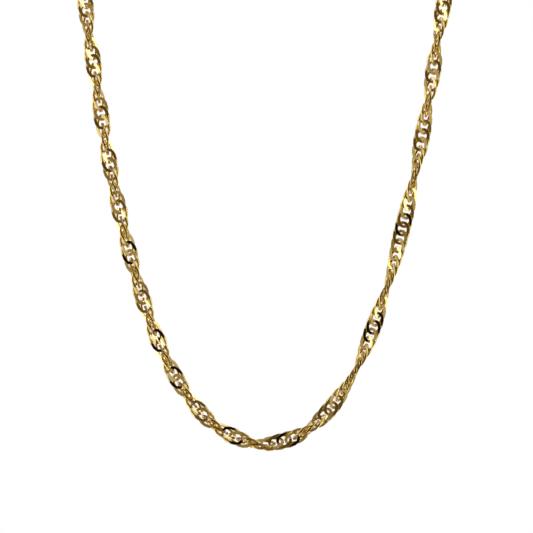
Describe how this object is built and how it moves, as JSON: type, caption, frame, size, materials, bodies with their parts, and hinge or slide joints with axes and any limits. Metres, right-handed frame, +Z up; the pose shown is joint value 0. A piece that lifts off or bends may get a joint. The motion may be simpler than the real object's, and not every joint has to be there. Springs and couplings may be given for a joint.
{
  "type": "singapore chain necklace",
  "caption": "Slim twisted double-curb chain of small oval links with cut faces, hung as a long open U round the neck and closed at the nape by a plain barrel clasp",
  "frame": {"origin": "the middle of the neck, at the height of the sides of the neck where the chain lies", "axes": "+Z up, the hanging front of the loop at -Y, the clasp at the nape at +Y, +X to the right as seen from the front"},
  "size_m": [0.1014, 0.0957, 0.1203],
  "materials": {
    "chain_gold": "polished yellow gold wire with flat diamond-cut faces",
    "clasp_gold": "polished yellow gold"
  },
  "bodies": {
    "root": {"chain_left": "chain_gold", "chain_right": "chain_gold", "clasp": "clasp_gold"}
  },
  "joints": []
}
